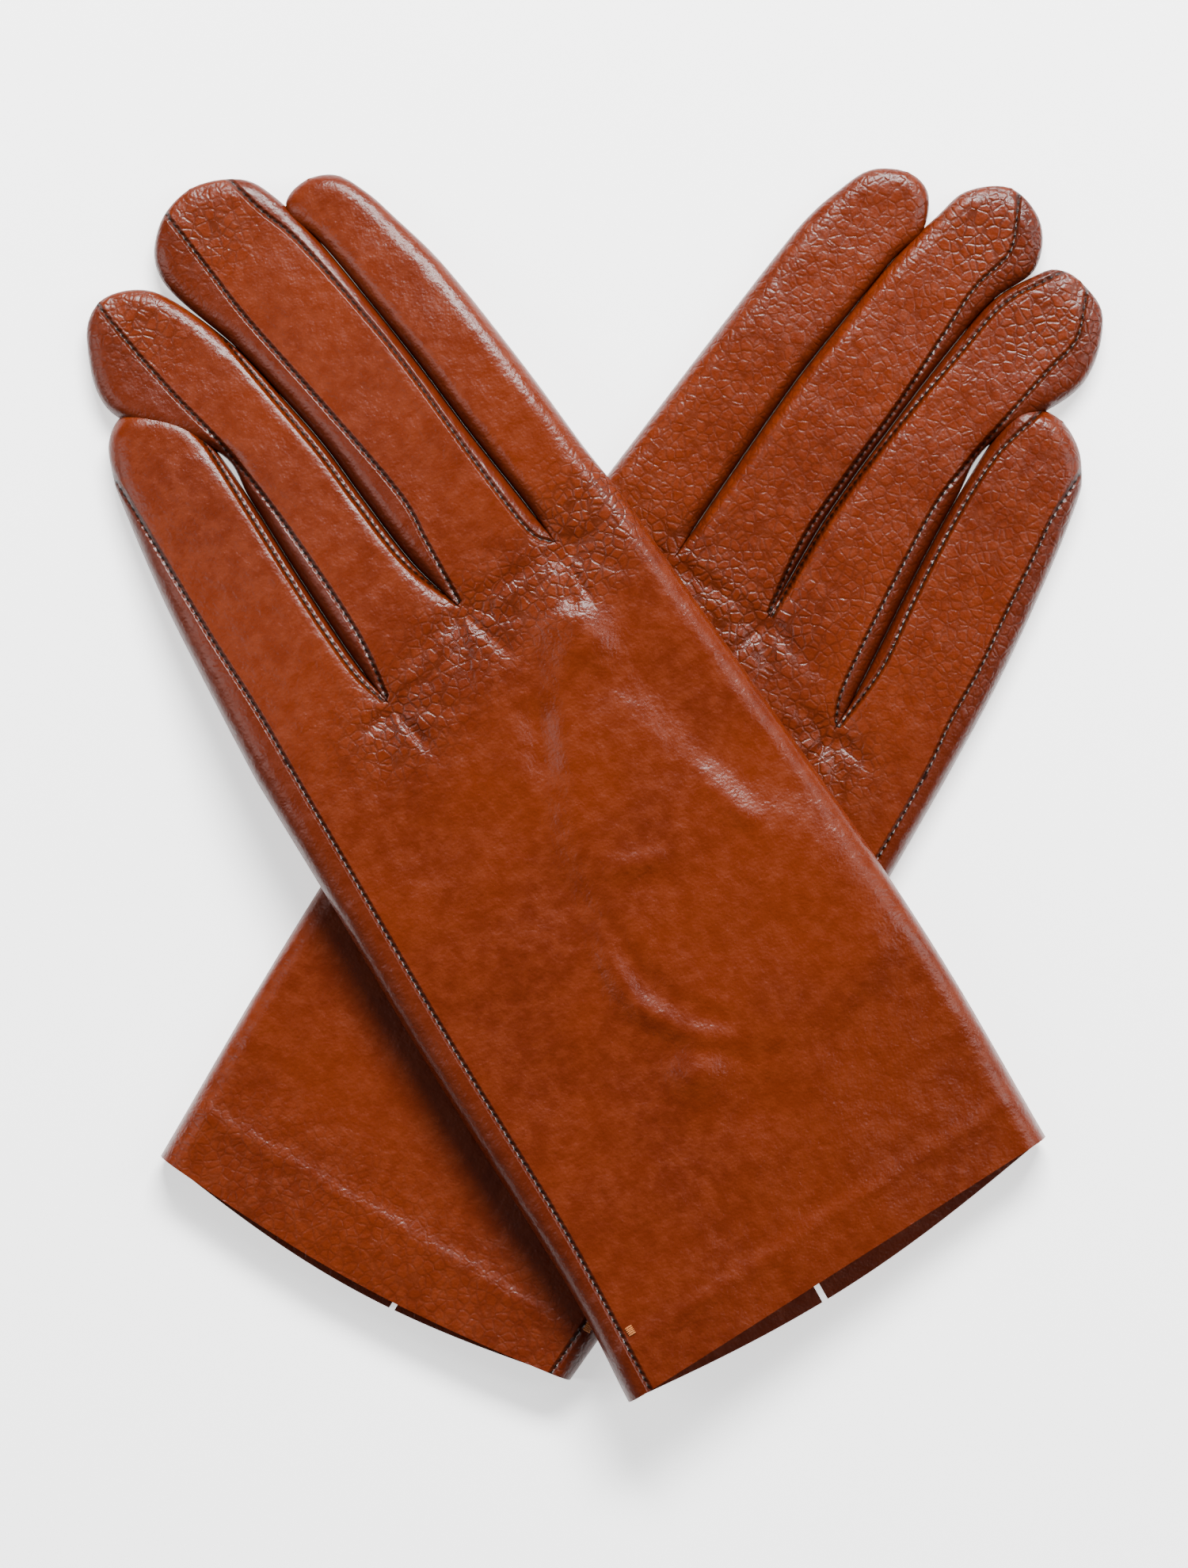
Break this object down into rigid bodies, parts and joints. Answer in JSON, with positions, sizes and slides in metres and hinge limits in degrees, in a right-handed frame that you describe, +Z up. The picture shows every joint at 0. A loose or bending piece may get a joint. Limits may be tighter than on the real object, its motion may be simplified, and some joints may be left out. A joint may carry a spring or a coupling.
{
  "type": "pair of leather gloves",
  "caption": "Short unlined leather dress gloves laid crossed, backs up, thumbs folded under, with bending fingers.",
  "frame": {"origin": "on the surface that the pair lies on, under the middle of its bounding box", "axes": "+Y away from the wearer between the two sets of fingertips, +X to the right glove's fingers, +Z up out of the backs of the hands"},
  "size_m": [0.1896, 0.238, 0.0204],
  "materials": {
    "back_leather": "semi-gloss smooth nappa, cognac brown",
    "palm_leather": "semi-gloss smooth nappa, cognac brown, creased",
    "edge_leather": "semi-gloss nappa, a little redder where it is folded",
    "fourchette_leather": "semi-gloss nappa between the fingers",
    "turned_in_leather": "matt flesh side of the turned-in hem",
    "tack_thread": "tan sewing thread"
  },
  "bodies": {
    "right_hand": {"right_back_panel": "back_leather", "right_palm_panel": "palm_leather", "right_hand_fold": "edge_leather", "right_fork_index_middle": "fourchette_leather", "right_fork_middle_ring": "fourchette_leather", "right_fork_ring_little": "fourchette_leather", "right_hand_seam_strip": "edge_leather", "right_back_hem": "turned_in_leather", "right_palm_hem_index": "turned_in_leather", "right_palm_hem_little": "turned_in_leather", "right_bar_tack": "tack_thread"},
    "left_hand": {"left_back_panel": "back_leather", "left_palm_panel": "palm_leather", "left_hand_fold": "edge_leather", "left_fork_index_middle": "fourchette_leather", "left_fork_middle_ring": "fourchette_leather", "left_fork_ring_little": "fourchette_leather", "left_hand_seam_strip": "edge_leather", "left_back_hem": "turned_in_leather", "left_palm_hem_index": "turned_in_leather", "left_palm_hem_little": "turned_in_leather", "left_bar_tack": "tack_thread"},
    "right_index_finger": {"right_index_finger_back": "back_leather", "right_index_finger_palm": "palm_leather", "right_index_finger_fold": "edge_leather", "right_index_finger_little_side": "fourchette_leather"},
    "right_middle_finger": {"right_middle_finger_back": "back_leather", "right_middle_finger_palm": "palm_leather", "right_middle_finger_index_side": "fourchette_leather", "right_middle_finger_little_side": "fourchette_leather"},
    "right_ring_finger": {"right_ring_finger_back": "back_leather", "right_ring_finger_palm": "palm_leather", "right_ring_finger_index_side": "fourchette_leather", "right_ring_finger_little_side": "fourchette_leather"},
    "right_little_finger": {"right_little_finger_back": "back_leather", "right_little_finger_palm": "palm_leather", "right_little_finger_index_side": "fourchette_leather", "right_little_finger_seam_strip": "edge_leather"},
    "right_thumb": {"right_thumb_outside": "palm_leather", "right_thumb_inside": "palm_leather"},
    "left_index_finger": {"left_index_finger_back": "back_leather", "left_index_finger_palm": "palm_leather", "left_index_finger_fold": "edge_leather", "left_index_finger_little_side": "fourchette_leather"},
    "left_middle_finger": {"left_middle_finger_back": "back_leather", "left_middle_finger_palm": "palm_leather", "left_middle_finger_index_side": "fourchette_leather", "left_middle_finger_little_side": "fourchette_leather"},
    "left_ring_finger": {"left_ring_finger_back": "back_leather", "left_ring_finger_palm": "palm_leather", "left_ring_finger_index_side": "fourchette_leather", "left_ring_finger_little_side": "fourchette_leather"},
    "left_little_finger": {"left_little_finger_back": "back_leather", "left_little_finger_palm": "palm_leather", "left_little_finger_index_side": "fourchette_leather", "left_little_finger_seam_strip": "edge_leather"},
    "left_thumb": {"left_thumb_outside": "palm_leather", "left_thumb_inside": "palm_leather"}
  },
  "joints": [
    {"name": "lift_off", "type": "slide", "parent": "right_hand", "child": "left_hand", "axis": [0, 0, 1], "range_m": [0, 0.06]},
    {"name": "left_index_bend", "type": "hinge", "parent": "left_hand", "child": "left_index_finger", "pos_m": [-0.01887, 0.072, 0.01692], "axis": [0.7758, 0.631, 0], "range_deg": [0, 60]},
    {"name": "left_middle_bend", "type": "hinge", "parent": "left_hand", "child": "left_middle_finger", "pos_m": [-0.03475, 0.06175, 0.01571], "axis": [0.7667, 0.6421, 0], "range_deg": [0, 60]},
    {"name": "left_ring_bend", "type": "hinge", "parent": "left_hand", "child": "left_ring_finger", "pos_m": [-0.05148, 0.04741, 0.01452], "axis": [0.7615, 0.6481, 0], "range_deg": [0, 60]},
    {"name": "left_little_bend", "type": "hinge", "parent": "left_hand", "child": "left_little_finger", "pos_m": [-0.06636, 0.03102, 0.01373], "axis": [0.8371, 0.5471, 0], "range_deg": [0, 45]},
    {"name": "left_thumb_swing", "type": "hinge", "parent": "left_hand", "child": "left_thumb", "pos_m": [0.04792, -0.02514, 0.0106], "axis": [0, 0, -1], "range_deg": [0, 50]},
    {"name": "right_index_bend", "type": "hinge", "parent": "right_hand", "child": "right_index_finger", "pos_m": [0.02402, 0.07192, 0.0076], "axis": [0.8019, -0.5974, 0], "range_deg": [0, 60]},
    {"name": "right_middle_bend", "type": "hinge", "parent": "right_hand", "child": "right_middle_finger", "pos_m": [0.04143, 0.06147, 0.0076], "axis": [0.804, -0.5946, 0], "range_deg": [0, 60]},
    {"name": "right_ring_bend", "type": "hinge", "parent": "right_hand", "child": "right_ring_finger", "pos_m": [0.05613, 0.0457, 0.0076], "axis": [0.8182, -0.575, 0], "range_deg": [0, 60]},
    {"name": "right_little_bend", "type": "hinge", "parent": "right_hand", "child": "right_little_finger", "pos_m": [0.06941, 0.02963, 0.0076], "axis": [0.8705, -0.4922, 0], "range_deg": [0, 45]},
    {"name": "right_thumb_swing", "type": "hinge", "parent": "right_hand", "child": "right_thumb", "pos_m": [-0.04489, -0.02651, 0], "axis": [0, 0, 1], "range_deg": [0, 50]}
  ]
}
